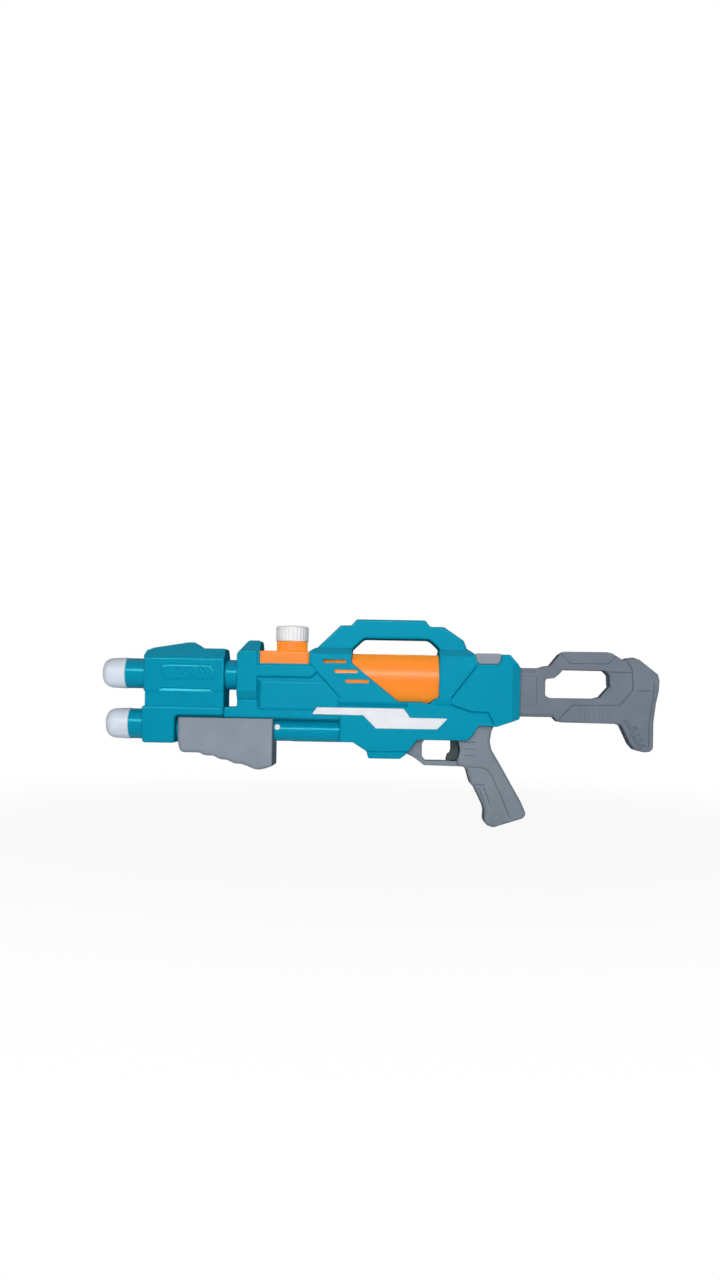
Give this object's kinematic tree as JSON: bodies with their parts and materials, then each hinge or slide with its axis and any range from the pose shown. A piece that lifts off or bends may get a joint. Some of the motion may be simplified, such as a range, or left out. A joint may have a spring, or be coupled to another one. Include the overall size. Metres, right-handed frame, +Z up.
{
  "type": "water squirter",
  "caption": "Pump-action toy water blaster with two stacked nozzles, tank with screw cap, sliding pump grip, sprung trigger valve, carry handle and telescoping shoulder stock.",
  "frame": {"origin": "centre of the box that holds the object, at the level of the foot of the pistol grip", "axes": "+X from the nozzles to the butt, +Y to the right-hand shell, +Z up through the carry handle"},
  "size_m": [0.72, 0.07, 0.2645],
  "materials": {
    "teal": "glossy moulded plastic",
    "white": "satin moulded plastic",
    "orange": "satin blow-moulded plastic",
    "grey": "matte moulded plastic",
    "black": "matte moulded plastic",
    "inner": "plain moulded plastic",
    "soft": "smooth flexible hose and seals",
    "steel": "plain steel"
  },
  "bodies": {
    "frame": {"body_shell_left": "teal", "body_shell_right": "teal", "nose_shell_left": "teal", "nose_shell_right": "teal", "upper_barrel": "teal", "lower_barrel": "teal", "pump_guide_tube": "teal", "upper_nozzle_tip": "white", "lower_nozzle_tip": "white", "tube_plug": "white", "side_trim_left": "white", "side_trim_right": "white", "water_tank": "orange", "grip_shell_left": "grey", "grip_shell_right": "grey", "upper_jet_tube": "inner", "lower_jet_tube": "inner", "jet_manifold": "inner", "pump_cylinder": "inner", "pump_head": "inner", "valve_body": "inner", "barrel_hose": "soft", "air_hose": "soft", "tank_hose": "soft", "check_spring": "steel", "trigger_pin": "steel", "trigger_spring": "steel", "valve_spring": "steel", "button_springs": "steel", "body_screws": "steel", "nose_screws": "steel", "grip_screws": "steel"},
    "pump": {"pump_grip_left": "grey", "pump_grip_right": "grey", "pump_rod": "inner", "pump_piston": "black", "piston_ring": "soft", "pump_grip_screws": "steel"},
    "trigger": {"trigger": "black"},
    "plunger": {"valve_plunger": "black", "plunger_seal": "soft"},
    "stock": {"stock_shell_left": "grey", "stock_shell_right": "grey", "stock_screws": "steel"},
    "button": {"stock_button": "grey"},
    "cap_thread": {"cap_seal": "soft"},
    "cap": {"tank_cap": "white"},
    "ball": {"check_ball": "steel"}
  },
  "joints": [
    {"name": "pump_slide", "type": "slide", "parent": "frame", "child": "pump", "axis": [1, 0, 0], "range_m": [0, 0.08]},
    {"name": "trigger_pull", "type": "hinge", "parent": "frame", "child": "trigger", "pos_m": [0.098, 0, 0.12], "axis": [0, -1, 0], "range_deg": [0, 15], "stiffness_Nm_per_rad": 0.3, "springref_deg": -17.19, "deforming": ["trigger_spring"]},
    {"name": "plunger_push", "type": "slide", "parent": "frame", "child": "plunger", "axis": [-1, 0, 0], "range_m": [0, 0.006], "deforming": ["valve_spring"]},
    {"name": "stock_slide", "type": "slide", "parent": "frame", "child": "stock", "axis": [-1, 0, 0], "range_m": [0, 0.025]},
    {"name": "button_press", "type": "slide", "parent": "frame", "child": "button", "axis": [0, 0, -1], "range_m": [0, 0.0028], "stiffness_N_per_m": 600, "springref_m": -0.001, "deforming": ["button_springs"]},
    {"name": "cap_lift", "type": "slide", "parent": "frame", "child": "cap_thread", "axis": [0, 0, 1], "range_m": [0, 0.0045]},
    {"name": "cap_turn", "type": "hinge", "parent": "cap_thread", "child": "cap", "pos_m": [-0.1145, 0, 0.245], "axis": [0, 0, 1], "range_deg": [0, 540]},
    {"name": "check_ball_lift", "type": "slide", "parent": "frame", "child": "ball", "axis": [1, 0, 0], "range_m": [0, 0.0015], "stiffness_N_per_m": 20, "deforming": ["check_spring"]}
  ],
  "couplings": [
    {"joint": "plunger_push", "follows": "trigger_pull", "m_per_rad": 0.0215},
    {"joint": "cap_lift", "follows": "cap_turn", "m_per_rad": 0.00047746}
  ]
}
